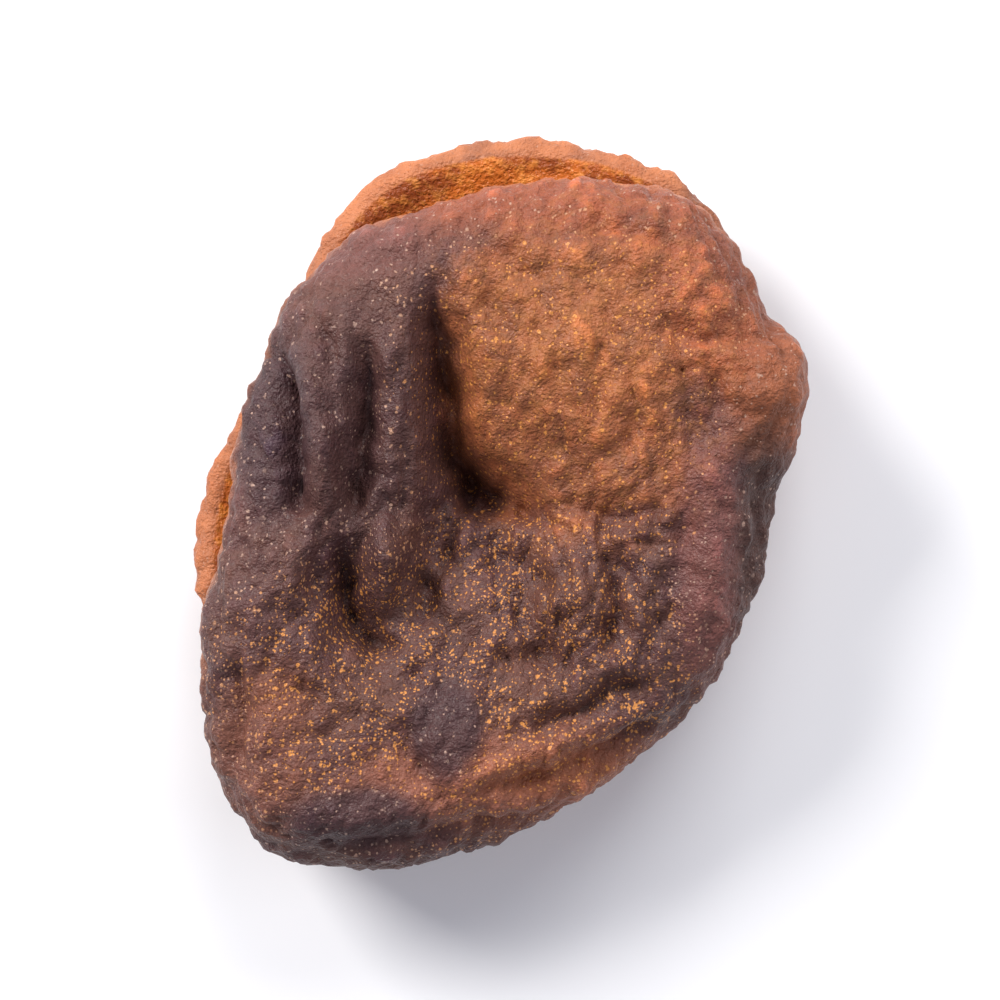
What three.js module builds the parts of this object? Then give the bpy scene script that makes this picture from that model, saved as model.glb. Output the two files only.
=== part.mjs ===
// A whole apricot, pitted through its seam and dried: two leathery halves pressed flat, lying on its back.
// Millimetres, +Z up. The halves gape round the far end (+Y) and the left side (-X), and are joined elsewhere.
// One closed body: outline, rim, slit, folds and wrinkles all come from the formulas below.
import * as THREE from "three";

// Driving sizes
const LENGTH = 37; // outline along Y, the gaping end to the stem end
const SEAM_HEIGHT = 5.4; // the seam above the surface that the fruit lies on
const RIM_RISE = 5.0; // crest of the upper half's rim above the seam
const RIM_DROP = 3.7; // shoulder of the lower half's rim below the seam
const BELLY = 2.7; // how much fuller the lower half is at its middle than at its rim
const HOLLOW = 0.9; // how much the upper face sinks from rim to middle, before its folds
const LIP_REACH = 4.3; // breadth of the rounded rim of each half, measured in from its outline
const LIP_TUCK = 0.9; // how far a lip turns under at the slit
const LIP_CURL = 0.9; // how far the lower lip rises at its edge
const SLIT_DEPTH = 6.8; // from the lips to the end of the slit
const SEAM_CREASE = 0.6; // depth of the seam where the halves are still joined
const SEAM_WIDTH = 1.2; // width of the seam there
const RIM_WAVE = 0.7; // how far the rim lifts and drops on its way round
const FLOOR_EASE = 0.5; // how softly the belly meets its flat spot
const REST_SPOT = 3.2; // radius round the middle of the belly that is pressed free of folds

// Mesh density
const FACE_STEP = 0.68;
const RIM_POINTS = 112;
const LIP_RINGS = 11;
const SLIT_RINGS = 4;
const NARROWEST_FOLD = 0.9; // half width below which a fold is made wider and shallower
const LIP_TIP = 0.72; // share of a lip's rings from its crest to its tip; the rest turn under

// Closed lists round the fruit, as [degrees from +X, value]. Radii are shares of half the length.
const UPPER_OUTLINE = [
  [0, 0.665], [14, 0.8], [25, 0.895], [37, 0.865], [50, 0.92], [61, 0.945], [78, 0.885],
  [100, 0.832], [120, 0.82], [136, 0.797], [152, 0.752], [166, 0.735], [178, 0.728], [190, 0.77],
  [206, 0.905], [222, 1.045], [235, 1.11], [248, 1.055], [270, 0.9], [294, 0.775], [318, 0.71],
  [340, 0.66],
];
const LOWER_OUTLINE = [
  [0, 0.725], [14, 0.815], [25, 0.88], [37, 0.875], [47, 0.945], [57, 0.992], [76, 1.005],
  [99, 0.985], [112, 0.955], [123, 0.885], [136, 0.8], [152, 0.757], [164, 0.768], [174, 0.805],
  [187, 0.84], [198, 0.868], [208, 0.925], [222, 1.035], [235, 1.09], [248, 1.045], [270, 0.895],
  [294, 0.782], [318, 0.74], [340, 0.718],
];
// How far the halves have parted, from 0, joined, to 1, open, and how wide the slit's mouth is there.
const OPENING = [
  [0, 0], [36, 0], [52, 0.6], [64, 1], [120, 1], [140, 0.75], [160, 1], [192, 1], [204, 0.6],
  [216, 0], [290, 0],
];
const GAPE = [
  [0, 0.5], [40, 0.5], [60, 0.9], [90, 1.1], [118, 1.6], [146, 0.8], [168, 1.4], [186, 1.8],
  [202, 0.9], [220, 0.5],
];

// Broad forms of each face, as [x, y, half width, half length, turn in degrees, height]: on the upper one the
// place where the stone was, the ridges left of it, the plateau right of it, knobs, lumps and the side bump.
const UPPER_FORMS = [
  [-1.4, -1.2, 4.6, 5.6, 10, -2.2],
  [-1.8, 0.8, 1.6, 1.6, 0, -0.7],
  [-6.8, -5.4, 2.2, 2.2, 0, -0.7],
  [-8.7, 4.0, 1.3, 4.6, 6, 1.3],
  [-5.0, 3.8, 1.4, 5.0, 4, 1.5],
  [3.2, 6.0, 5.0, 5.0, 0, 1.3],
  [-5.6, -3.0, 1.5, 1.9, -8, 1.5],
  [3.3, -4.4, 1.8, 2.1, 10, 1.3],
  [-2.6, -11.0, 1.8, 2.2, 8, 0.8],
  [9.9, -3.4, 1.2, 5.4, 8, 0.7],
  [-11.4, 2.6, 1.2, 4.6, -12, -0.9],
  [-7.2, -15.2, 3.0, 1.2, 0, 0.5],
  [13.2, 5.6, 2.0, 2.0, 0, 0.6],
  [9.6, 4.0, 1.2, 1.4, 30, -0.5],
];
const LOWER_FORMS = [
  [2.5, 3.0, 3.2, 8.0, -24, -1.5],
  [-7.5, -6.5, 2.6, 4.5, 40, -1.1],
  [8.0, -5.0, 2.6, 5.0, 14, -0.9],
  [-9.0, 7.0, 3.0, 4.0, -30, -0.8],
];

// Where the skin is more crumpled than elsewhere, in the same way. The last value is added to 1.
const CRUMPLED = [
  [-3.0, -4.6, 6.0, 5.0, 0, 1.1],
  [3.0, 6.0, 6.0, 5.0, 0, 0.5],
  [3.4, -5.0, 4.0, 4.0, 0, 0.6],
  [-7.0, -11.0, 6.0, 3.6, 0, 0.4],
  [9.6, -4.0, 1.6, 6.0, 8, -0.5],
];

// Folds as [depth, half width, path]. A negative depth is a ridge. Both faces are drawn as seen from above.
const UPPER_FOLDS = [
  [2.6, 0.9, [[-3.2, 11.8], [-3.3, 9.0], [-2.9, 6.4], [-2.5, 4.0], [-2.2, 2.2], [-1.0, 0.8], [0.8, -0.2], [2.8, -1.2]]],
  [1.3, 1.7, [[-3.9, 8.6], [-3.5, 6.0], [-3.2, 3.6], [-2.9, 1.6], [-1.6, 0.2], [0.6, -1.2]]],
  [1.7, 0.65, [[-11.4, 8.8], [-10.8, 6.6], [-10.3, 4.4], [-9.9, 2.2], [-9.7, -0.4], [-9.9, -2.4]]],
  [-0.5, 0.6, [[-10.4, 8.0], [-9.8, 6.0], [-9.3, 4.0], [-8.9, 2.0], [-8.8, 0.4]]],
  [2.3, 0.95, [[-8.3, -0.4], [-7.9, -2.4], [-7.8, -4.4], [-7.2, -6.2], [-5.8, -7.0], [-4.2, -6.6]]],
  [1.5, 0.6, [[-7.2, 8.8], [-6.8, 6.6], [-6.6, 4.4], [-7.0, 2.2], [-7.3, 0.2], [-7.6, -1.6]]],
  [0.5, 0.45, [[-9.0, 9.6], [-8.5, 7.4], [-8.3, 5.2], [-8.6, 3.2]]],
  [0.5, 0.45, [[-5.0, 9.8], [-4.9, 7.4], [-5.2, 5.0], [-4.9, 2.6], [-5.2, 0.6]]],
  [0.5, 0.45, [[-9.0, 0.2], [-8.9, -1.8], [-9.3, -3.8], [-8.9, -5.6]]],
  [1.5, 0.8, [[-3.0, 0.8], [-3.2, -1.4], [-3.8, -3.2], [-4.3, -5.0], [-5.0, -6.8]]],
  [0.6, 0.45, [[-1.8, 0.2], [-2.6, -2.0], [-3.4, -4.0]]],
  [0.6, 0.45, [[-0.8, -0.4], [-1.5, -2.6], [-2.4, -4.8], [-3.4, -6.2]]],
  [0.5, 0.45, [[0.0, -0.6], [-0.4, -2.6], [-0.9, -4.8]]],
  [0.8, 0.6, [[1.8, -2.4], [1.3, -3.8], [1.3, -5.4], [2.0, -6.8], [3.2, -7.6]]],
  [0.9, 0.6, [[4.4, -1.6], [5.3, -3.2], [5.5, -5.0], [4.9, -6.8], [4.0, -8.0]]],
  [0.5, 0.5, [[2.4, 0.3], [5.0, -0.5], [7.8, -0.2]]],
  [0.35, 0.45, [[5.4, -2.2], [6.6, -1.8], [8.2, -2.0]]],
  [0.6, 0.6, [[8.0, 2.4], [8.5, -0.4], [8.4, -3.2], [7.8, -5.6], [6.6, -7.8]]],
  [0.7, 0.6, [[-1.4, -6.6], [0.6, -7.6], [3.0, -8.0], [5.0, -7.6]]],
  [0.6, 0.55, [[-9.4, -6.6], [-8.0, -8.0], [-5.6, -8.4], [-3.4, -8.0]]],
  [0.5, 0.5, [[-11.4, -4.0], [-10.2, -5.6], [-8.8, -6.0]]],
  [-0.4, 0.4, [[11.0, 2.0], [11.3, -1.4], [11.2, -4.0], [10.4, -7.0], [9.0, -9.6]]],
  [0.6, 0.7, [[12.2, 2.4], [12.3, -1.6], [12.0, -4.6], [11.2, -7.0]]],
  [1.0, 0.65, [[7.6, -8.4], [5.2, -9.2], [2.6, -10.3], [0.2, -11.6]]],
  [0.9, 0.6, [[9.6, -9.8], [7.4, -11.0], [4.4, -12.4], [0.8, -13.6], [-2.6, -14.6]]],
  [0.7, 0.6, [[-9.6, -16.2], [-6.0, -16.4], [-2.4, -16.0], [2.0, -15.4], [6.0, -13.6]]],
  [0.7, 0.6, [[-12.7, -6.0], [-13.0, -9.0], [-12.8, -12.0], [-12.0, -14.6]]],
  [0.6, 0.5, [[-4.5, -9.4], [-4.7, -11.6], [-3.8, -13.4]]],
  [0.5, 0.5, [[-0.9, -9.4], [-0.7, -11.4], [-1.5, -13.2]]],
  [0.5, 0.5, [[4.4, 8.4], [4.7, 6.4], [4.4, 4.0]]],
  [0.4, 0.45, [[2.6, 7.6], [2.4, 5.6], [2.7, 4.2]]],
  [0.4, 0.45, [[6.4, 5.2], [6.3, 3.6], [6.0, 1.8]]],
  [0.5, 0.5, [[-0.6, 12.8], [0.8, 11.4], [2.6, 10.4]]],
  [0.5, 0.5, [[7.0, 8.6], [9.4, 8.0], [12.2, 8.2]]],
  [0.5, 0.5, [[8.2, 6.4], [9.8, 6.8], [10.4, 5.2], [12.4, 4.2]]],
  [0.5, 0.5, [[3.4, 13.2], [5.8, 13.4], [8.6, 12.2]]],
  [0.4, 0.45, [[-11.6, -8.0], [-9.8, -9.0], [-8.6, -11.0]]],
];
const LOWER_FOLDS = [
  [2.2, 1.0, [[4.6, 13.0], [3.6, 8.0], [1.4, 3.6], [0.2, -1.6], [-2.4, -6.8], [-5.8, -11.4]]],
  [1.5, 0.9, [[1.4, 3.6], [-2.6, 5.8], [-6.8, 6.4], [-10.8, 8.6]]],
  [1.5, 0.9, [[0.2, -1.6], [4.2, -3.4], [8.0, -3.8], [11.4, -2.4]]],
  [1.3, 0.9, [[-2.4, -6.8], [-6.2, -5.2], [-10.8, -5.8]]],
  [1.1, 0.8, [[3.6, 8.0], [7.0, 8.6], [11.0, 6.4]]],
  [1.1, 0.8, [[4.2, -3.4], [4.8, -7.6], [3.4, -11.6]]],
  [0.9, 0.8, [[-6.8, 6.4], [-8.2, 2.0], [-12.2, 0.6]]],
];

const HALF = LENGTH / 2;
const TURN = 2 * Math.PI;

// Small helpers

const mix = (a, b, t) => a + (b - a) * t;
const clamp01 = (t) => Math.min(1, Math.max(0, t));
const smooth = (low, high, x) => {
  const t = clamp01((x - low) / (high - low));
  return t * t * (3 - 2 * t);
};

// The value of a closed list at an angle, on a smooth curve through its stops.
function around(stops, angle) {
  const degrees = ((THREE.MathUtils.radToDeg(angle) % 360) + 360) % 360;
  const n = stops.length;
  let i = 0;
  while (i < n - 1 && stops[i + 1][0] <= degrees) i += 1;
  const at = (k) => [stops[(k + n) % n][0] + 360 * Math.floor(k / n), stops[(k + n) % n][1]];
  const [a, b, c, d] = [at(i - 1), at(i), at(i + 1), at(i + 2)];
  const span = c[0] - b[0];
  const t = (degrees - b[0]) / span;
  const slopeB = ((c[1] - a[1]) / (c[0] - a[0])) * span;
  const slopeC = ((d[1] - b[1]) / (d[0] - b[0])) * span;
  const t2 = t * t;
  const t3 = t2 * t;
  return (2 * t3 - 3 * t2 + 1) * b[1] + (t3 - 2 * t2 + t) * slopeB
    + (3 * t2 - 2 * t3) * c[1] + (t3 - t2) * slopeC;
}

// Repeatable noise from -1 to 1, by gradients at the corners of a unit grid.
function scatter(i, j, k, seed) {
  const s = Math.sin(i * 127.1 + j * 311.7 + k * 74.7 + seed * 53.3) * 43758.5453;
  return 2 * (s - Math.floor(s)) - 1;
}
function noise(x, y, z, seed) {
  const [i, j, k] = [Math.floor(x), Math.floor(y), Math.floor(z)];
  const [u, v, w] = [x - i, y - j, z - k];
  const fade = (t) => t * t * t * (t * (6 * t - 15) + 10);
  let sum = 0;
  for (let c = 0; c < 8; c += 1) {
    const [a, b, d] = [c & 1, (c >> 1) & 1, (c >> 2) & 1];
    const slope = (axis) => scatter(i + a, j + b, k + d, seed + axis);
    const lean = slope(0) * (u - a) + slope(1) * (v - b) + slope(2) * (w - d);
    sum += lean * (a ? fade(u) : 1 - fade(u)) * (b ? fade(v) : 1 - fade(v)) * (d ? fade(w) : 1 - fade(w));
  }
  return sum;
}

// Wrinkles: narrow valleys along the lines where the noise crosses zero, with round backs between them.
function valleys(x, y, z, [sizeX, sizeY, sizeZ], width, seed) {
  return Math.exp(-Math.abs(noise(x / sizeX, y / sizeY, z / sizeZ, seed)) / width);
}

// Distance to a path and the share of its length at the nearest point.
function nearest(path, x, y) {
  const lengths = path.slice(1).map(([bx, by], i) => Math.hypot(bx - path[i][0], by - path[i][1]));
  const whole = lengths.reduce((a, b) => a + b, 0);
  let best = { distance: Infinity, share: 0 };
  let passed = 0;
  path.slice(1).forEach(([bx, by], i) => {
    const [ax, ay] = path[i];
    const t = clamp01(((x - ax) * (bx - ax) + (y - ay) * (by - ay)) / lengths[i] ** 2);
    const distance = Math.hypot(x - mix(ax, bx, t), y - mix(ay, by, t));
    if (distance < best.distance) best = { distance, share: (passed + t * lengths[i]) / whole };
    passed += lengths[i];
  });
  return best;
}

// Height that all folds of a face add: valleys between raised shoulders, uneven and fading at their ends.
// A fold narrower than the mesh can hold is widened, and made shallower to match.
function folds(list, x, y) {
  const wanderX = x + 0.7 * noise(x / 2.9, y / 2.9, 0, 11) + 0.3 * noise(x / 1.1, y / 1.1, 0, 13);
  const wanderY = y + 0.7 * noise(x / 2.9, y / 2.9, 0, 17) + 0.3 * noise(x / 1.1, y / 1.1, 0, 19);
  const uneven = 1 + 0.6 * noise(x / 1.6, y / 1.6, 0, 29);
  return list.reduce((sum, [depth, halfWidth, path]) => {
    const { distance, share } = nearest(path, wanderX, wanderY);
    const fade = smooth(0, 0.3, share) * smooth(0, 0.3, 1 - share);
    const width = Math.max(halfWidth, NARROWEST_FOLD);
    const valley = Math.exp(-((distance / width) ** 1.5));
    const shoulder = Math.exp(-(((distance - 2.2 * width) / width) ** 2));
    return sum + depth * (halfWidth / width) * fade * uneven * (0.2 * shoulder - valley);
  }, 0);
}

function forms(list, x, y) {
  return list.reduce((sum, [cx, cy, halfWidth, halfLength, turn, height]) => {
    const a = THREE.MathUtils.degToRad(turn);
    const across = ((x - cx) * Math.cos(a) - (y - cy) * Math.sin(a)) / halfWidth;
    const along = ((x - cx) * Math.sin(a) + (y - cy) * Math.cos(a)) / halfLength;
    return sum + height * Math.exp(-(across ** 2 + along ** 2));
  }, 0);
}

// What the skin adds to the smooth body at a point. upright is 1 on a face and 0 on the side of a lip.
function relief(upper, x, y, z, upright) {
  const face = smooth(0.15, 0.75, upright);
  const seed = upper ? 3 : 23;
  const broad = forms(upper ? UPPER_FORMS : LOWER_FORMS, x, y);
  const deep = folds(upper ? UPPER_FOLDS : LOWER_FOLDS, x, y);
  const layers = [
    [0.26, valleys(x, y, z, [2.6, 6.5, 3.2], 0.16, seed)],
    [0.22, valleys(x, y, z, [2.6, 2.9, 2.4], 0.16, seed + 4)],
  ];
  const pressed = upper ? 1 : smooth(REST_SPOT, 1.7 * REST_SPOT, Math.hypot(x, y));
  const crumpled = upper ? 1 + face * forms(CRUMPLED, x, y) : 1.2;
  const wrinkled = layers.reduce((sum, [depth, valley]) => sum + depth * (0.45 - valley), 0);
  return pressed * (face * (broad + deep) + crumpled * wrinkled);
}

// Half a section through the fruit at an angle: face, lip, then slit. Upper half: sign 1, lower half: -1.
// Gives the radius and height from the seam, the direction of the skin's relief, and how far the halves parted.
function section(sign, part, share, angle) {
  const upper = sign > 0;
  const outline = HALF * around(upper ? UPPER_OUTLINE : LOWER_OUTLINE, angle);
  const other = HALF * around(upper ? LOWER_OUTLINE : UPPER_OUTLINE, angle);
  const widest = Math.max(outline, other);
  const opened = clamp01(around(OPENING, angle));
  const mouth = around(GAPE, angle) / 2;
  const crest = outline - LIP_REACH;
  const rise = upper ? RIM_RISE : RIM_DROP;
  if (part === "face") {
    const z = rise + (upper ? -HOLLOW : BELLY) * (1 - share ** 2);
    return { r: share * crest, z: sign * z, out: 0, up: sign, opened };
  }
  const crease = SEAM_CREASE * (0.5 + smooth(-0.5, 0.5, noise(4 * Math.cos(angle), 4 * Math.sin(angle), 0, 41)));
  const creaseAt = (z) => crease * Math.exp(-z / (SEAM_WIDTH / 2));
  const curl = (r) => (upper ? 0 : LIP_CURL * opened * smooth(outline - 3.4, outline - 0.4, r));
  if (part === "lip") {
    // Gaping: a round lip whose edge turns under to the slit. Joined: a quarter of the one round rim.
    const over = (Math.PI / 2) * (1 - clamp01(share / LIP_TIP));
    const under = (Math.PI / 2) * clamp01((share - LIP_TIP) / (1 - LIP_TIP));
    const tip = mouth + LIP_TUCK;
    const gapingR = crest + LIP_REACH * Math.cos(over) ** 0.85 - 2 * LIP_TUCK * (1 - Math.cos(under));
    const gapingZ = tip + (rise - tip) * Math.sin(over) ** 0.85 - LIP_TUCK * Math.sin(under);
    const rim = (Math.PI / 2) * (1 - share);
    const joinedZ = mix(SEAM_WIDTH / 2, rise, Math.sin(rim));
    const joinedR = mix(crest, widest, Math.cos(rim)) - creaseAt(joinedZ);
    const tilt = mix(rim, over - under, opened);
    const r = mix(joinedR, gapingR, opened);
    return {
      r,
      z: sign * (mix(joinedZ, gapingZ, opened) - curl(r)),
      out: Math.cos(tilt),
      up: sign * Math.sin(tilt),
      opened,
    };
  }
  const end = Math.min(outline, other) - SLIT_DEPTH;
  const z = mix(SEAM_WIDTH / 2, mouth, opened) * (1 - share) ** 0.8;
  const r = mix(widest - creaseAt(z), mix(outline - 2 * LIP_TUCK, end, share), opened);
  return { r, z: sign * (z - curl(r)), out: 1 - opened, up: sign * opened, opened };
}

// One point of the skin. The flesh in the slit has soft pleats of its own.
function skin(sign, part, share, angle) {
  const { r, z, out, up, opened } = section(sign, part, share, angle);
  const upper = sign > 0;
  const [c, s] = [Math.cos(angle), Math.sin(angle)];
  const wave = RIM_WAVE * (Math.sin(2 * angle + 0.7) + 0.9 * noise(2.2 * c, 2.2 * s, 0, 43));
  const height = SEAM_HEIGHT + z + wave * clamp01(r / HALF) ** 2;
  const tucked = opened * (part === "slit" ? 1 : part === "lip" ? smooth(LIP_TIP - 0.1, 0.97, share) : 0);
  const shallow = part === "slit" ? 1 - smooth(0.1, 0.6, share) : 1;
  const pleats = 0.4 * noise(5 * c, 5 * s, r / 2.4, 89) * shallow;
  const upright = part === "slit" ? 0 : Math.abs(up);
  const kept = (1 - tucked) * (part === "slit" ? 1 - share : 1);
  const bump = relief(upper, r * c, r * s, z, upright) * kept + pleats * tucked;
  const lifted = height + bump * up;
  return new THREE.Vector3((r + bump * out) * c, (r + bump * out) * s, upper ? lifted : restOnFloor(lifted));
}

// The belly is pressed flat where it lies.
function restOnFloor(z) {
  return z <= 0 ? 0 : (z * z) / (z + FLOOR_EASE);
}

// Rings of points from the middle of the upper face, over the rim, through the slit, to the middle below.
function ringsOf(sign) {
  const rings = [];
  const count = Math.round((HALF * 0.85 - LIP_REACH) / FACE_STEP);
  for (let i = 1; i <= count; i += 1) {
    const points = i === count ? RIM_POINTS : Math.min(RIM_POINTS, Math.max(6, Math.round(TURN * i)));
    rings.push({ part: "face", share: i / count, points });
  }
  for (let i = 1; i <= LIP_RINGS; i += 1) rings.push({ part: "lip", share: i / LIP_RINGS, points: RIM_POINTS });
  for (let i = 1; i < SLIT_RINGS; i += 1) rings.push({ part: "slit", share: i / SLIT_RINGS, points: RIM_POINTS });
  return rings.map((ring) => ({ ...ring, sign }));
}

// Joins two rings, whose points are evenly spaced in angle, by always taking the nearer next point.
function stitch(faces, upperRing, lowerRing) {
  const [n, m] = [upperRing.length, lowerRing.length];
  let [i, j] = [0, 0];
  while (i < n || j < m) {
    const [a, b] = [upperRing[i % n], lowerRing[j % m]];
    if (j === m || (i < n && (i + 1) / n <= (j + 1) / m)) {
      i += 1;
      faces.push(a, b, upperRing[i % n]);
    } else {
      j += 1;
      faces.push(a, b, lowerRing[j % m]);
    }
  }
}

function fruitGeometry() {
  const points = [];
  const add = (point) => points.push(point) - 1;
  const rings = [
    ...ringsOf(1),
    { sign: 1, part: "slit", share: 1, points: RIM_POINTS },
    ...ringsOf(-1).reverse(),
  ];
  const top = add(skin(1, "face", 0, 0));
  const indices = rings.map(({ sign, part, share, points: count }) =>
    Array.from({ length: count }, (_, i) => add(skin(sign, part, share, (TURN * i) / count))));
  const bottom = add(skin(-1, "face", 0, 0));

  const faces = [];
  const [first, last] = [indices[0], indices[indices.length - 1]];
  first.forEach((p, i) => faces.push(top, p, first[(i + 1) % first.length]));
  for (let i = 1; i < indices.length; i += 1) stitch(faces, indices[i - 1], indices[i]);
  last.forEach((p, i) => faces.push(bottom, last[(i + 1) % last.length], p));

  const geometry = new THREE.BufferGeometry().setFromPoints(points);
  geometry.setIndex(faces);
  geometry.computeBoundingBox();
  const middle = geometry.boundingBox.getCenter(new THREE.Vector3());
  geometry.translate(-middle.x, -middle.y, 0);
  geometry.computeVertexNormals();
  return geometry;
}

const driedSkin = new THREE.MeshStandardMaterial({
  name: "dried_skin",
  color: new THREE.Color(0x86583f),
  roughness: 0.5,
  metalness: 0,
});

const apricot = new THREE.Mesh(fruitGeometry(), driedSkin);
apricot.name = "apricot";

const fruit = new THREE.Group();
fruit.add(apricot);

export default fruit;
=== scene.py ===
"""Builds the finished look of one whole dried apricot around its fixed frame.

The fruit is one closed skin of two pressed halves. Its outline, lips, slit, folds and wrinkles are worked
out from formulas in millimetres, as fine as the eye sees them, and its waxy skin and amber flesh are
procedural.
"""

import bpy
import numpy as np
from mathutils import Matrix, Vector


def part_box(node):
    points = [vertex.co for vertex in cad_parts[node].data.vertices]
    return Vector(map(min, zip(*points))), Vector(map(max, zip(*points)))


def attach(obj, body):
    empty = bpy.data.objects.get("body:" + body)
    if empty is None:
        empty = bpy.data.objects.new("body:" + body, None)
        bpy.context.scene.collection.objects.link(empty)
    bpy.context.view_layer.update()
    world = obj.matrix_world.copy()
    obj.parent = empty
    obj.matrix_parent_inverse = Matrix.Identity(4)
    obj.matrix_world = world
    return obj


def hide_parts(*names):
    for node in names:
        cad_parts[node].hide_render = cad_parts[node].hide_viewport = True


bl_info = {
    "name": "Dried Apricot",
    "version": (1, 0, 0),
    "blender": (4, 5, 0),
    "location": "View3D > Sidebar > Apricot",
    "description": "Builds a whole dried apricot with wrinkled waxy skin, a gaping slit and amber flesh",
    "category": "Object",
}

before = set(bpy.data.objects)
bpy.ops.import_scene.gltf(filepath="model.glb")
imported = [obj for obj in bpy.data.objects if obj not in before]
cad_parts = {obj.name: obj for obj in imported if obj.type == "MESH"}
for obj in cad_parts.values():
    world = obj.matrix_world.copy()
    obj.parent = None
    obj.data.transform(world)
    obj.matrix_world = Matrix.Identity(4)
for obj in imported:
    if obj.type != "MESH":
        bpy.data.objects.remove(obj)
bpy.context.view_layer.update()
FRUIT = "apricot"
LOW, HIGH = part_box(FRUIT)
MM = 0.001
TURN = 2 * np.pi

# Closed lists round the fruit, as [degrees from +X, value]. Radii are shares of half the length.
UPPER_OUTLINE = [
    [0, 0.665], [14, 0.8], [25, 0.895], [37, 0.865], [50, 0.92], [61, 0.945], [78, 0.885],
    [100, 0.832], [120, 0.82], [136, 0.797], [152, 0.752], [166, 0.735], [178, 0.728], [190, 0.77],
    [206, 0.905], [222, 1.045], [235, 1.11], [248, 1.055], [270, 0.9], [294, 0.775], [318, 0.71],
    [340, 0.66],
]
LOWER_OUTLINE = [
    [0, 0.725], [14, 0.815], [25, 0.88], [37, 0.875], [47, 0.945], [57, 0.992], [76, 1.005],
    [99, 0.985], [112, 0.955], [123, 0.885], [136, 0.8], [152, 0.757], [164, 0.768], [174, 0.805],
    [187, 0.84], [198, 0.868], [208, 0.925], [222, 1.035], [235, 1.09], [248, 1.045], [270, 0.895],
    [294, 0.782], [318, 0.74], [340, 0.718],
]
# How far the halves have parted, from 0, joined, to 1, open, and how wide the slit's mouth is there.
OPENING = [
    [0, 0], [36, 0], [52, 0.6], [64, 1], [120, 1], [140, 0.75], [160, 1], [192, 1], [204, 0.6],
    [216, 0], [290, 0],
]
GAPE = [
    [0, 0.5], [40, 0.5], [60, 0.9], [90, 1.1], [118, 1.6], [146, 0.8], [168, 1.4], [186, 1.8],
    [202, 0.9], [220, 0.5],
]

# Broad forms of each face, as [x, y, half width, half length, turn in degrees, height].
UPPER_FORMS = [
    [-1.4, -1.2, 4.6, 5.6, 10, -2.2],
    [-1.8, 0.8, 1.6, 1.6, 0, -0.7],
    [-6.8, -5.4, 2.2, 2.2, 0, -0.7],
    [-8.7, 4.0, 1.3, 4.6, 6, 1.3],
    [-5.0, 3.8, 1.4, 5.0, 4, 1.5],
    [3.2, 6.0, 5.0, 5.0, 0, 1.3],
    [-5.6, -3.0, 1.5, 1.9, -8, 1.5],
    [3.3, -4.4, 1.8, 2.1, 10, 1.3],
    [-2.6, -11.0, 1.8, 2.2, 8, 0.8],
    [9.9, -3.4, 1.2, 5.4, 8, 0.7],
    [-11.4, 2.6, 1.2, 4.6, -12, -0.9],
    [-7.2, -15.2, 3.0, 1.2, 0, 0.5],
    [13.2, 5.6, 2.0, 2.0, 0, 0.6],
    [9.6, 4.0, 1.2, 1.4, 30, -0.5],
]
# Fine ribs that fan out from a point, as [x, y, first and last radius, first and last degree, height].
FANS = [
    [0.4, 1.0, 1.6, 7.4, 192, 266, 0.34],
    [-7.6, -3.4, 1.2, 5.0, 120, 330, 0.2],
    [8.0, -2.0, 1.4, 4.6, 150, 250, 0.18],
]
# Where the upper face is more or less crumpled than elsewhere, listed like its forms. The last value is
# added to 1.
CRUMPLED = [
    [-3.0, -4.6, 6.0, 5.0, 0, 1.1],
    [3.0, 6.0, 6.0, 5.0, 0, 0.5],
    [3.4, -5.0, 4.0, 4.0, 0, 0.6],
    [-7.0, -11.0, 6.0, 3.6, 0, 0.4],
    [9.6, -4.0, 1.6, 6.0, 8, -0.5],
]
LOWER_FORMS = [
    [2.5, 3.0, 3.2, 8.0, -24, -1.5],
    [-7.5, -6.5, 2.6, 4.5, 40, -1.1],
    [8.0, -5.0, 2.6, 5.0, 14, -0.9],
    [-9.0, 7.0, 3.0, 4.0, -30, -0.8],
]

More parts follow.
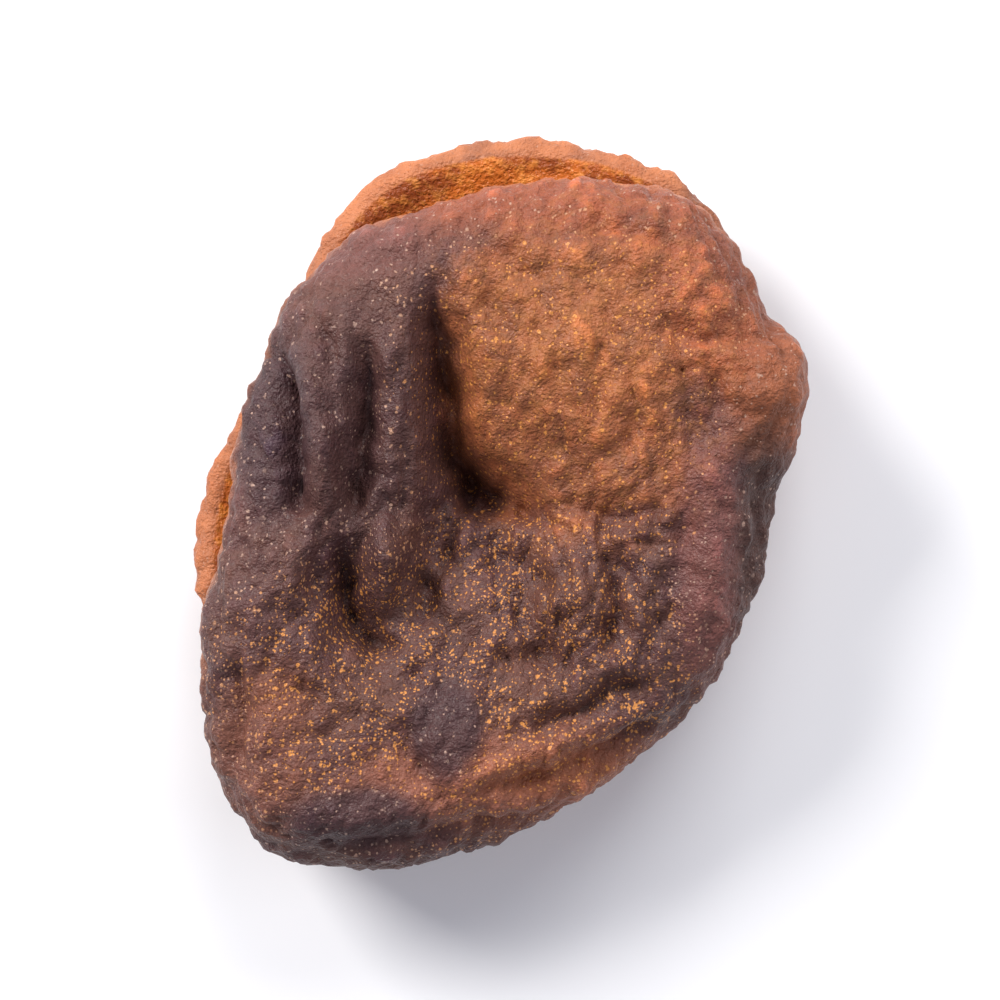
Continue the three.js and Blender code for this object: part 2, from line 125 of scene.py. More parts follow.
# Folds as [depth, half width, path]. A negative depth is a ridge. Both faces are drawn as seen from above.
UPPER_FOLDS = [
    [2.6, 0.9, [
        [-3.2, 11.8], [-3.3, 9.0], [-2.9, 6.4], [-2.5, 4.0],
        [-2.2, 2.2], [-1.0, 0.8], [0.8, -0.2], [2.8, -1.2],
    ]],
    [1.3, 1.7, [[-3.9, 8.6], [-3.5, 6.0], [-3.2, 3.6], [-2.9, 1.6], [-1.6, 0.2], [0.6, -1.2]]],
    [1.7, 0.65, [[-11.4, 8.8], [-10.8, 6.6], [-10.3, 4.4], [-9.9, 2.2], [-9.7, -0.4], [-9.9, -2.4]]],
    [-0.5, 0.6, [[-10.4, 8.0], [-9.8, 6.0], [-9.3, 4.0], [-8.9, 2.0], [-8.8, 0.4]]],
    [2.3, 0.95, [[-8.3, -0.4], [-7.9, -2.4], [-7.8, -4.4], [-7.2, -6.2], [-5.8, -7.0], [-4.2, -6.6]]],
    [1.5, 0.6, [[-7.2, 8.8], [-6.8, 6.6], [-6.6, 4.4], [-7.0, 2.2], [-7.3, 0.2], [-7.6, -1.6]]],
    [0.5, 0.45, [[-9.0, 9.6], [-8.5, 7.4], [-8.3, 5.2], [-8.6, 3.2]]],
    [0.5, 0.45, [[-5.0, 9.8], [-4.9, 7.4], [-5.2, 5.0], [-4.9, 2.6], [-5.2, 0.6]]],
    [0.5, 0.45, [[-9.0, 0.2], [-8.9, -1.8], [-9.3, -3.8], [-8.9, -5.6]]],
    [1.5, 0.8, [[-3.0, 0.8], [-3.2, -1.4], [-3.8, -3.2], [-4.3, -5.0], [-5.0, -6.8]]],
    [0.6, 0.45, [[-1.8, 0.2], [-2.6, -2.0], [-3.4, -4.0]]],
    [0.6, 0.45, [[-0.8, -0.4], [-1.5, -2.6], [-2.4, -4.8], [-3.4, -6.2]]],
    [0.5, 0.45, [[0.0, -0.6], [-0.4, -2.6], [-0.9, -4.8]]],
    [0.8, 0.6, [[1.8, -2.4], [1.3, -3.8], [1.3, -5.4], [2.0, -6.8], [3.2, -7.6]]],
    [0.9, 0.6, [[4.4, -1.6], [5.3, -3.2], [5.5, -5.0], [4.9, -6.8], [4.0, -8.0]]],
    [0.5, 0.5, [[2.4, 0.3], [5.0, -0.5], [7.8, -0.2]]],
    [0.35, 0.45, [[5.4, -2.2], [6.6, -1.8], [8.2, -2.0]]],
    [0.6, 0.6, [[8.0, 2.4], [8.5, -0.4], [8.4, -3.2], [7.8, -5.6], [6.6, -7.8]]],
    [0.7, 0.6, [[-1.4, -6.6], [0.6, -7.6], [3.0, -8.0], [5.0, -7.6]]],
    [0.6, 0.55, [[-9.4, -6.6], [-8.0, -8.0], [-5.6, -8.4], [-3.4, -8.0]]],
    [0.5, 0.5, [[-11.4, -4.0], [-10.2, -5.6], [-8.8, -6.0]]],
    [-0.4, 0.4, [[11.0, 2.0], [11.3, -1.4], [11.2, -4.0], [10.4, -7.0], [9.0, -9.6]]],
    [0.6, 0.7, [[12.2, 2.4], [12.3, -1.6], [12.0, -4.6], [11.2, -7.0]]],
    [1.0, 0.65, [[7.6, -8.4], [5.2, -9.2], [2.6, -10.3], [0.2, -11.6]]],
    [0.9, 0.6, [[9.6, -9.8], [7.4, -11.0], [4.4, -12.4], [0.8, -13.6], [-2.6, -14.6]]],
    [0.7, 0.6, [[-9.6, -16.2], [-6.0, -16.4], [-2.4, -16.0], [2.0, -15.4], [6.0, -13.6]]],
    [0.7, 0.6, [[-12.7, -6.0], [-13.0, -9.0], [-12.8, -12.0], [-12.0, -14.6]]],
    [0.6, 0.5, [[-4.5, -9.4], [-4.7, -11.6], [-3.8, -13.4]]],
    [0.5, 0.5, [[-0.9, -9.4], [-0.7, -11.4], [-1.5, -13.2]]],
    [0.5, 0.5, [[4.4, 8.4], [4.7, 6.4], [4.4, 4.0]]],
    [0.4, 0.45, [[2.6, 7.6], [2.4, 5.6], [2.7, 4.2]]],
    [0.4, 0.45, [[6.4, 5.2], [6.3, 3.6], [6.0, 1.8]]],
    [0.5, 0.5, [[-0.6, 12.8], [0.8, 11.4], [2.6, 10.4]]],
    [0.5, 0.5, [[7.0, 8.6], [9.4, 8.0], [12.2, 8.2]]],
    [0.5, 0.5, [[8.2, 6.4], [9.8, 6.8], [10.4, 5.2], [12.4, 4.2]]],
    [0.5, 0.5, [[3.4, 13.2], [5.8, 13.4], [8.6, 12.2]]],
    [0.4, 0.45, [[-11.6, -8.0], [-9.8, -9.0], [-8.6, -11.0]]],
]
LOWER_FOLDS = [
    [2.2, 1.0, [[4.6, 13.0], [3.6, 8.0], [1.4, 3.6], [0.2, -1.6], [-2.4, -6.8], [-5.8, -11.4]]],
    [1.5, 0.9, [[1.4, 3.6], [-2.6, 5.8], [-6.8, 6.4], [-10.8, 8.6]]],
    [1.5, 0.9, [[0.2, -1.6], [4.2, -3.4], [8.0, -3.8], [11.4, -2.4]]],
    [1.3, 0.9, [[-2.4, -6.8], [-6.2, -5.2], [-10.8, -5.8]]],
    [1.1, 0.8, [[3.6, 8.0], [7.0, 8.6], [11.0, 6.4]]],
    [1.1, 0.8, [[4.2, -3.4], [4.8, -7.6], [3.4, -11.6]]],
    [0.9, 0.8, [[-6.8, 6.4], [-8.2, 2.0], [-12.2, 0.6]]],
]

# The rings of points run over the face, round the lip and down into the slit.
FACE, LIP, SLIT = 0, 1, 2
# The share of a lip's section at which its edge turns under.
TIP = 0.72
# Exponent of a lip's round section. Under 1 is fuller than a circle.
LIP_ROUNDNESS = 0.85
# The lower lip curls up between these distances from its outline.
CURL_START, CURL_END = 3.4, 0.4
# Radius of the middle of the belly that is free of folds, so that the fruit rests flat.
REST_SPOT = 3.2
# Mean radius of the outlines, as a share of half the length.
MEAN_OUTLINE = 0.85
# About the mean of valleys, so that wrinkles neither raise nor lower the skin.
MEAN_VALLEY = 0.45
# Share of a fold's length over which each end fades.
FOLD_END = 0.3
# Where the shoulder beside a fold lies, in half widths, and its height as a share of the depth.
SHOULDER_PLACE, SHOULDER_HEIGHT = 2.2, 0.2
# Over how many degrees each side of a fan fades.
FAN_SIDE = 14

# Ovals of the upper face, as centre, radii and softness of the edge.
LUMP = ((-2.6, -11.0), (1.9, 2.4), 0.3)
LOW_FACET = ((-6.8, -15.4), (3.2, 1.5), 0.3)
GLOW = ((4.2, 7.4), (7.2, 8.2), 0.35)
# Ovals where the specks are denser golden sugar grains; outside them the specks are painted pale glints.
LOW_DUST = ((-2.0, -9.4), (12.5, 7.6), 0.6)
HIGH_DUST = ((3.0, 6.0), (8.0, 8.0), 0.6)
# Coloured patches, each as its oval, strength and colour. These two end at the long valley.
GLOWING_PATCHES = [
    (((4.0, 6.4), (7.4, 7.6), 0.25), 1.0, "amber"),
    (((3.4, 8.4), (5.2, 4.2), 0.5), 0.6, "gold"),
]
PATCHES = [
    (((3.0, 15.2), (9.0, 2.8), 0.6), 0.85, "orange"),
    (((-7.6, 11.4), (4.0, 2.6), 0.6), 0.5, "red_brown"),
    (((13.4, 5.8), (3.0, 3.4), 0.5), 0.8, "amber"),
    (((10.4, 10.0), (3.0, 4.0), 0.5), 0.6, "orange"),
    (((-11.4, -12.0), (2.4, 3.6), 0.5), 0.4, "red_orange"),
    (((-12.9, 4.0), (1.0, 6.0), 0.5), 0.4, "rose"),
    (((-8.6, 12.6), (4.6, 2.0), 0.5), 0.6, "rose"),
    (((1.6, -13.6), (8.6, 2.4), 0.5), 0.9, "red_orange"),
    (((2.2, -13.2), (3.4, 1.2), 0.6), 0.6, "amber"),
    (((-10.6, -9.2), (1.4, 1.4), 0.6), 0.2, "amber"),
    (((3.4, -4.6), (2.2, 2.4), 0.5), 0.5, "red_brown"),
    (((10.2, -3.0), (1.7, 6.4), 0.3), 0.75, "rose"),
    (LOW_FACET, 0.9, "violet"),
    (LUMP, 0.9, "violet"),
    (((-10.9, 3.2), (1.9, 4.4), 0.3), 1.0, "violet"),
    (((-6.6, 2.4), (2.6, 6.4), 0.5), 0.5, "violet"),
    (((-10.4, -5.4), (2.4, 2.8), 0.4), 0.5, "violet_brown"),
    (((6.8, -1.1), (1.8, 0.9), 0.3), 0.7, "violet_brown"),
    (((9.6, 4.2), (1.5, 1.7), 0.5), 0.7, "violet_brown"),
    (((4.6, 1.4), (3.6, 1.4), 0.5), 0.4, "red_brown"),
    # Painted shade on the dim right rim.
    (((12.9, -2.6), (1.5, 5.8), 0.4), 0.8, "shade_brown"),
]
# Grains, golden sugar grains in the dusted ovals and painted pale glints elsewhere, as their spacing and the
# shift of their pattern. The dusting is given for the usual one.
GRAINS = [(0.17, 0.0), (0.24, 5.0), (0.34, 8.0)]
USUAL_GRAIN = 0.24

# Lights in metres, as name, place, size, share of the key light's power and colour.
LIGHTS = [
    ("key", (-0.24, 0.2, 0.22), 0.16, 1.0, (1, 0.98, 0.95)),
    ("top", (0.1, 0.34, 0.26), 0.26, 0.8, (1, 0.99, 0.98)),
    ("right", (0.34, 0.0, 0.22), 0.26, 0.25, (0.95, 0.97, 1)),
    ("front", (-0.1, -0.34, 0.26), 0.26, 0.15, (0.92, 0.93, 1)),
]
SKY = (0.84, 0.85, 1, 1)
# Wide enough, in metres, that its end isn't seen.
FLOOR_SIZE = 30


def mix(a, b, t):
    """From a, where t is 0, to b, where it is 1."""
    return a + (b - a) * t


def smooth(low, high, x):
    """0 up to low, 1 from high on, and smooth between them."""
    t = np.clip((x - low) / (high - low), 0, 1)
    return t * t * (3 - 2 * t)


def around(stops, angle):
    """The value of a closed list at each angle, on a smooth curve through its stops."""
    stops = np.array(stops, float)
    n = len(stops)
    degrees = np.degrees(angle) % 360
    i = np.searchsorted(stops[:, 0], degrees, side="right") - 1

    def at(k):
        return stops[k % n, 0] + 360 * (k // n), stops[k % n, 1]

    (a0, a1), (b0, b1), (c0, c1), (d0, d1) = at(i - 1), at(i), at(i + 1), at(i + 2)
    span = c0 - b0
    t = (degrees - b0) / span
    slope_b = (c1 - a1) / (c0 - a0) * span
    slope_c = (d1 - b1) / (d0 - b0) * span
    return (
        (2 * t**3 - 3 * t**2 + 1) * b1
        + (t**3 - 2 * t**2 + t) * slope_b
        + (3 * t**2 - 2 * t**3) * c1
        + (t**3 - t**2) * slope_c
    )


def scatter(i, j, k, seed):
    """A number from -1 to 1 for each corner of a grid, which is always the same."""
    s = np.sin(i * 127.1 + j * 311.7 + k * 74.7 + seed * 53.3) * 43758.5453
    return 2 * (s - np.floor(s)) - 1


def noise(x, y, z, seed):
    """Repeatable noise from -1 to 1, by gradients at the corners of a unit grid."""
    x, y, z = np.broadcast_arrays(x, y, z)
    i, j, k = np.floor(x), np.floor(y), np.floor(z)
    u, v, w = x - i, y - j, z - k

    def fade(t):
        return t * t * t * (t * (6 * t - 15) + 10)

    fu, fv, fw = fade(u), fade(v), fade(w)
    total = np.zeros_like(x, float)
    for c in range(8):
        a, b, d = c & 1, (c >> 1) & 1, (c >> 2) & 1
        lean = (
            scatter(i + a, j + b, k + d, seed) * (u - a)
            + scatter(i + a, j + b, k + d, seed + 1) * (v - b)
            + scatter(i + a, j + b, k + d, seed + 2) * (w - d)
        )
        total += lean * (fu if a else 1 - fu) * (fv if b else 1 - fv) * (fw if d else 1 - fw)
    return total


def valleys(x, y, z, sizes, width, seed):
    """Wrinkles: 1 along the lines where the noise crosses zero, falling off to the round backs between."""
    n = noise(x / sizes[0], y / sizes[1], z / sizes[2], seed)
    return np.exp(-np.abs(n) / width)


def nearest(path, x, y):
    """Distance to a path, and the share of its length at the nearest point."""
    path = np.array(path, float)
    steps = np.diff(path, axis=0)
    lengths = np.hypot(steps[:, 0], steps[:, 1])
    passed = np.concatenate(([0], np.cumsum(lengths)))
    distance = np.full(x.shape, np.inf)
    share = np.zeros(x.shape)
    for (ax, ay), (dx, dy), length, before in zip(path, steps, lengths, passed):
        t = np.clip(((x - ax) * dx + (y - ay) * dy) / length**2, 0, 1)
        away = np.hypot(x - ax - t * dx, y - ay - t * dy)
        share = np.where(away < distance, (before + t * length) / passed[-1], share)
        distance = np.minimum(distance, away)
    return distance, share


def wander(x, y, seed):
    """A slow and a quick drift that takes folds off their straight paths."""
    return 0.7 * noise(x / 2.9, y / 2.9, 0, seed) + 0.3 * noise(x / 1.1, y / 1.1, 0, seed + 2)


def folds(fold_list, x, y):
    """What all folds of a face add: valleys between raised shoulders, uneven and fading at their ends."""
    wander_x = x + wander(x, y, 11)
    wander_y = y + wander(x, y, 17)
    uneven = 1 + 0.6 * noise(x / 1.6, y / 1.6, 0, 29)
    total = np.zeros(x.shape)
    for depth, half_width, path in fold_list:
        distance, share = nearest(path, wander_x, wander_y)
        fade = smooth(0, FOLD_END, share) * smooth(0, FOLD_END, 1 - share)
        width = half_width * (0.55 + 0.45 * fade)
        valley = np.exp(-((distance / width) ** 1.2))
        shoulder = np.exp(-(((distance - SHOULDER_PLACE * width) / width) ** 2))
        total += depth * fade * uneven * (SHOULDER_HEIGHT * shoulder - valley)
    return total


def forms(form_list, x, y):
    """What the raised and sunken forms of a face add, each a turned oval with soft sides."""
    total = np.zeros(x.shape)
    for cx, cy, half_width, half_length, turn, height in form_list:
        a = np.radians(turn)
        across = ((x - cx) * np.cos(a) - (y - cy) * np.sin(a)) / half_width
        along = ((x - cx) * np.sin(a) + (y - cy) * np.cos(a)) / half_length
        total += height * np.exp(-(across**2 + along**2))
    return total


def fans(fan_list, x, y):
    """What the fans of fine ribs add."""
    total = np.zeros(x.shape)
    for cx, cy, first, last, start, end, height in fan_list:
        radius = np.hypot(x - cx, y - cy)
        angle = np.arctan2(y - cy, x - cx) % TURN
        degrees = np.degrees(angle)
        outward = smooth(first, first + 1.5, radius) * (1 - smooth(last - 2, last - first, radius))
        sideways = smooth(start, start + FAN_SIDE, degrees) * (1 - smooth(end - FAN_SIDE, end, degrees))
        ribs = valleys(radius, angle * (first + last) / 2, 0, (2.8, 0.62, 1), 0.2, 31)
        total += height * outward * sideways * (MEAN_VALLEY - ribs)
    return total


def section(sizes, sign, part, share, angle):
    """Half a section through the fruit, in millimetres from the seam. The sign is 1 above it and -1 below.

    Gives radius, height, the direction in which the relief lies, and how far the halves have parted.
    """
    upper = sign > 0
    half = sizes.length / MM / 2
    outline = half * around(UPPER_OUTLINE if upper else LOWER_OUTLINE, angle)
    other = half * around(LOWER_OUTLINE if upper else UPPER_OUTLINE, angle)
    widest = np.maximum(outline, other)
    opened = np.clip(around(OPENING, angle), 0, 1)
    mouth = around(GAPE, angle) / 2
    reach = sizes.lip_reach / MM
    crest = outline - reach
    rise = (sizes.rim_rise if upper else sizes.rim_drop) / MM
    fuller = (-sizes.hollow if upper else sizes.belly) / MM
    tuck = sizes.lip_tuck / MM

    face_r = share * crest
    face_z = rise + fuller * (1 - share**2)

    # Where the halves gape, a lip is a round rim whose edge turns under.
    over = np.clip(share / TIP, 0, 1)
    under = np.clip((share - TIP) / (1 - TIP), 0, 1)
    top = np.pi / 2 * (1 - over)
    turned = np.pi / 2 * under
    tip = mouth + tuck
    tucked_r = 2 * tuck
    gaping_r = crest + reach * np.cos(top) ** LIP_ROUNDNESS - tucked_r * (1 - np.cos(turned))
    gaping_z = tip + (rise - tip) * np.sin(top) ** LIP_ROUNDNESS - tuck * np.sin(turned)

    # Where they are joined, the rim runs out to the wider half and dips in at the seam.
    rim = np.pi / 2 * (1 - share)
    c, s = np.cos(angle), np.sin(angle)
    crease = sizes.seam_crease / MM * (0.5 + smooth(-0.5, 0.5, noise(4 * c, 4 * s, 0, 41)))
    seam = sizes.seam_width / MM / 2
    joined_z = mix(seam, rise, np.sin(rim))
    joined_r = mix(crest, widest, np.cos(rim)) - crease * np.exp(-joined_z / seam)
    lip_r = mix(joined_r, gaping_r, opened)
    lip_z = mix(joined_z, gaping_z, opened)
    tilt = mix(rim, top - turned, opened)

    # The slit's wall runs inwards where they gape, and is the outside of the seam where they are joined.
    end = np.minimum(outline, other) - sizes.slit_depth / MM
    wall_z = mix(seam, mouth, opened) * (1 - share) ** 0.8
    joined_wall = widest - crease * np.exp(-wall_z / seam)
    wall_r = mix(joined_wall, mix(outline - tucked_r, end, share), opened)
    if not upper:
        curl = sizes.lip_curl / MM * opened
        lip_z = lip_z - curl * smooth(outline - CURL_START, outline - CURL_END, lip_r)
        wall_z = wall_z - curl * smooth(outline - CURL_START, outline - CURL_END, wall_r)

    r = np.select([part == FACE, part == LIP], [face_r, lip_r], wall_r)
    z = sign * np.select([part == FACE, part == LIP], [face_z, lip_z], wall_z)
    out = np.select([part == LIP, part == SLIT], [np.cos(tilt), 1 - opened], 0)
    up = sign * np.select([part == FACE, part == LIP], [np.ones_like(r), np.sin(tilt)], 0)
    return r, z, out, up, opened


def relief(upper, x, y, z, upright, near_rim):
    """What the skin adds to the smooth body, the part of that in folds, and how deep in wrinkles a point is.

    upright is 1 on a face and 0 on the side of a lip.
    """
    face = smooth(0.15, 0.75, upright)
    seed = 3 if upper else 23
    broad = forms(UPPER_FORMS if upper else LOWER_FORMS, x, y)
    deep = folds(UPPER_FOLDS if upper else LOWER_FOLDS, x, y)
    bent_x = x + 0.5 * noise(x / 1.7, y / 1.7, z / 1.7, 51)
    bent_y = y + 0.5 * noise(x / 1.7, y / 1.7, z / 1.7, 57)
    layers = (
        (0.26, valleys(x, y, z, (2.6, 6.5, 3.2), 0.16, seed)),
        (0.22, valleys(x, y, z, (2.6, 2.9, 2.4), 0.16, seed + 4)),
        (0.25, valleys(bent_x, bent_y, z, (1.0, 3.0, 1.5), 0.15, 61)),
        (0.15, valleys(bent_x, bent_y, z, (0.8, 1.0, 0.8), 0.2, 67)),
    )
    crumpled = 1 + face * forms(CRUMPLED, x, y) if upper else 1.2
    wrinkled = crumpled * sum(depth * (MEAN_VALLEY - valley) for depth, valley in layers)
    crinkle = 1 - np.prod([1 - 0.6 * valley for depth, valley in layers], axis=0)
    angle = np.arctan2(y, x)
    ribs = noise(19 * np.cos(angle), 19 * np.sin(angle), z / 2.6, 71)
    wrinkled += 0.2 * near_rim * ribs + 0.07 * noise(x / 0.45, y / 0.5, z / 0.45, 77)
    if upper:
        wrinkled += face * fans(FANS, x, y)
    pressed = 1 if upper else smooth(REST_SPOT, 1.7 * REST_SPOT, np.hypot(x, y))
    return pressed * (face * (broad + deep) + wrinkled), pressed * deep, crinkle


def rest_on_floor(z, ease):
    """The belly is pressed flat where it lies."""
    return np.where(z <= 0, 0, z * z / (np.maximum(z, 0) + ease))


def skin(sizes, sign, part, share, angle):
    """Points of one half of the skin in millimetres, and what its material needs to know about each."""
    r, z, out, up, opened = section(sizes, sign, part, share, angle)
    upper = sign > 0
    c, s = np.cos(angle), np.sin(angle)
    half = sizes.length / MM / 2
    reach = np.clip(r / half, 0, 1)
    wave = sizes.rim_wave / MM * (np.sin(2 * angle + 0.7) + 0.9 * noise(2.2 * c, 2.2 * s, 0, 43))
    height = sizes.seam_height / MM + z + wave * reach**2
    outline = half * around(UPPER_OUTLINE if upper else LOWER_OUTLINE, angle)
    near_rim = smooth(0.68, 0.9, r / outline)
    bump, deep, crinkle = relief(upper, r * c, r * s, z, np.abs(up), near_rim)
    tucked = np.where(part == LIP, smooth(TIP - 0.1, 0.97, share), part == SLIT) * opened
    pleats = 0.14 * noise(20 * c, 20 * s, share * 2, 83) + 0.4 * noise(5 * c, 5 * s, r / 2.4, 89)
    pleats *= 1 - smooth(0.1, 0.6, share) * (part == SLIT)
    bump = bump * (1 - tucked) * np.where(part == SLIT, 1 - share, 1) + pleats * tucked
    up = np.where(part == SLIT, sign * opened, up)
    x, y = (r + bump * out) * c, (r + bump * out) * s
    lifted = height + bump * up
    if sign < 0:
        lifted = rest_on_floor(lifted, sizes.floor_ease / MM)
    on_skin = np.where(part == SLIT, 0, np.abs(up))
    # Flesh is bare in the slit, and edge is the rim of skin along it, where light through the thin lip is
    # painted.
    # Fold and crinkle tell how deep in them a point is, for painted shade in folds and wrinkles and painted
    # highlights on the crests between, upper how far it has the upper face's colours, and recess how far
    # inside the slit it lies, where the flesh is painted darker as shade.
    facts = {
        "flesh": np.where(part == SLIT, opened, opened * smooth(TIP + 0.12, 0.98, share) * (part == LIP)),
        "edge": np.where(part == LIP, opened * smooth(TIP - 0.15, TIP, share), 0),
        "fold": np.clip(-deep, 0, 3) * on_skin,
        "crinkle": np.where(part == SLIT, mix(crinkle, 0.4, opened), crinkle),
        "upper": mix(smooth(-3.5, 3.0, z), float(upper), opened),
        "recess": np.where(part == SLIT, smooth(0, 0.5, share), 0),
    }
    return np.stack([x, y, lifted], axis=-1), facts


def ring_plan(sizes, sign):
    """Rings of points from the middle of a face to the end of the slit, as sign, part, share and count."""
    crest = (sizes.length / 2 * MEAN_OUTLINE - sizes.lip_reach) / MM
    count = round(crest / (sizes.fineness / MM))
    rings = [(FACE, i / count, min(sizes.rim_points, max(6, round(TURN * i)))) for i in range(1, count)]
    rings.append((FACE, 1.0, sizes.rim_points))
    rings += [(LIP, (i + 1) / sizes.lip_rings, sizes.rim_points) for i in range(sizes.lip_rings)]
    rings += [(SLIT, i / sizes.slit_rings, sizes.rim_points) for i in range(1, sizes.slit_rings)]
    return [(sign, *ring) for ring in rings]


def stitch(faces, first, second):
    """Joins two rings, evenly spaced in angle, by always taking the nearer next point."""
    n, m = len(first), len(second)
    i = j = 0
    while i < n or j < m:
        a, b = first[i % n], second[j % m]
        if j == m or (i < n and (i + 1) / n <= (j + 1) / m):
            i += 1
            faces.append((a, b, first[i % n]))
        else:
            j += 1
            faces.append((a, b, second[j % m]))


def fruit_mesh(sizes):
    """The whole skin as one closed mesh in metres, centred over the frame's own fruit.

    Its rings run from the middle of the upper face into the slit, and out to the middle of the lower face.
    """
    rings = ring_plan(sizes, 1)
    rings.append((1, SLIT, 1.0, sizes.rim_points))
    rings += reversed(ring_plan(sizes, -1))
    rings = [(1, FACE, 0.0, 1), *rings, (-1, FACE, 0.0, 1)]
    counts = np.array([ring[3] for ring in rings])
    starts = np.concatenate(([0], np.cumsum(counts)))
    sign, part, share = (np.repeat([ring[k] for ring in rings], counts) for k in range(3))
    angle = np.concatenate([TURN * np.arange(n) / n for n in counts])

    points = np.zeros((len(angle), 3))
    facts = {}
    for half in (1, -1):
        mine = sign == half
        points[mine], found = skin(sizes, half, part[mine], share[mine], angle[mine])
        for name, values in found.items():
            facts.setdefault(name, np.zeros(len(angle)))[mine] = values

    # A fan of triangles closes the middle of each face.
    faces = []
    ids = [range(starts[i], starts[i + 1]) for i in range(len(rings))]
    faces += [(0, ids[1][i], ids[1][(i + 1) % counts[1]]) for i in range(counts[1])]
    for first, second in zip(ids[1:-2], ids[2:-1]):
        stitch(faces, first, second)
    last, bottom = ids[-2], ids[-1][0]
    faces += [(bottom, last[(i + 1) % len(last)], last[i]) for i in range(len(last))]

    middle = (points.min(0) + points.max(0)) / 2
    points[:, :2] += np.array((LOW + HIGH) / 2)[:2] / MM - middle[:2]
    mesh = bpy.data.meshes.new("dried_apricot")
    mesh.from_pydata((points * MM).tolist(), [], faces)
    for name, values in facts.items():
        mesh.attributes.new(name, "FLOAT", "POINT").data.foreach_set("value", values.astype(np.float32))
    mesh.polygons.foreach_set("use_smooth", [True] * len(faces))
    mesh.update()
    return mesh


def linear(seen):
    """One channel of a colour as seen, from 0 to 1, in linear light."""
    return seen / 12.92 if seen <= 0.04045 else ((seen + 0.055) / 1.055) ** 2.4


def paint(red, green, blue):
    """A colour as seen, from 0 to 255, in the linear light that the shader works in."""
    return tuple(linear(seen / 255) for seen in (red, green, blue))


class Signal:
    """An output socket of a shader node. Arithmetic on it adds Math nodes."""

    def __init__(self, recipe, socket):
        self.recipe = recipe
        self.socket = socket

    def _math(self, operation, first, second=0.0):
        return self.recipe.node("Math", {"operation": operation}, {0: first, 1: second})

    def __add__(self, other):
        return self._math("ADD", self, other)

    def __radd__(self, other):
        return self._math("ADD", other, self)

    def __sub__(self, other):
        return self._math("SUBTRACT", self, other)

    def __rsub__(self, other):
        return self._math("SUBTRACT", other, self)

    def __mul__(self, other):
        return self._math("MULTIPLY", self, other)

    def __rmul__(self, other):
        return self._math("MULTIPLY", other, self)

    def __truediv__(self, other):
        return self._math("DIVIDE", self, other)

    def __rtruediv__(self, other):
        return self._math("DIVIDE", other, self)

    def __pow__(self, other):
        return self._math("POWER", self, other)

    def __abs__(self):
        return self._math("ABSOLUTE", self)

    def step(self, low, high):
        """0 at low, 1 at high, and smooth between them."""
        limits = {"Value": self, "From Min": low, "From Max": high}
        return self.recipe.node("MapRange", {"interpolation_type": "SMOOTHSTEP"}, limits)


# Sockets of a Mix node that mixes colours: share and both colours, and its result.
MIX_SHARE, MIX_FIRST, MIX_SECOND, MIX_RESULT = 0, 6, 7, 2


class Recipe:
    """The node tree of a material, filled in by expressions."""

    def __init__(self, name):
        self.material = bpy.data.materials.new(name)
        self.material.use_nodes = True
        self.tree = self.material.node_tree
        self.tree.nodes.clear()

    def node(self, kind, settings, sockets, output=0):
        """Adds a node with its settings and its sockets' values or links, and gives one of its outputs."""
        made = self.tree.nodes.new("ShaderNode" + kind)
        for name, value in settings.items():
            setattr(made, name, value)
        for key, value in sockets.items():
            if isinstance(value, Signal):
                self.tree.links.new(value.socket, made.inputs[key])
            else:
                made.inputs[key].default_value = value
        return Signal(self, made.outputs[output]) if made.outputs else None

    def fact(self, name):
        """A number that the mesh holds for each of its points."""
        return self.node("Attribute", {"attribute_name": name}, {}, "Fac")

    def blend(self, share, first, second):
        """The first colour where share is 0 and the second where it is 1."""
        first, second = (c if isinstance(c, Signal) else (*c, 1) for c in (first, second))
        sockets = {MIX_SHARE: share, MIX_FIRST: first, MIX_SECOND: second}
        return self.node("Mix", {"data_type": "RGBA"}, sockets, MIX_RESULT)

    def axis(self, position, name):
        """One of X, Y and Z of a position."""
        return self.node("SeparateXYZ", {}, {0: position}, name)

    def moved(self, position, shift, stretch=(1, 1, 1)):
        """A position stretched and then shifted, for a pattern of its own."""
        return self.node("Mapping", {}, {"Vector": position, "Location": (shift,) * 3, "Scale": stretch})

    def cloud(self, position, size, detail=2.0, roughness=0.5, stretch=(1, 1, 1), shift=0.0):
        """Soft noise from 0 to 1, with spots about size millimetres across."""
        place = self.moved(position, shift, stretch)
        sockets = {"Vector": place, "Scale": 1 / size, "Detail": detail, "Roughness": roughness}
        return self.node("TexNoise", {}, sockets)

    def grains(self, position, size, shift=0.0):
        """Scattered grains: how near the nearest is, in grain spacings, and a random number of its own."""
        sockets = {"Vector": self.moved(position, shift), "Scale": 1 / size}
        near = self.node("TexVoronoi", {}, sockets, "Distance")
        own = Signal(self, near.socket.node.outputs["Color"])
        return near, self.node("SeparateColor", {}, {0: own}, "Red")

    def finish(self, shader):
        """Puts the shader on the surface and gives the material."""
        self.node("OutputMaterial", {}, {"Surface": shader})
        return self.material


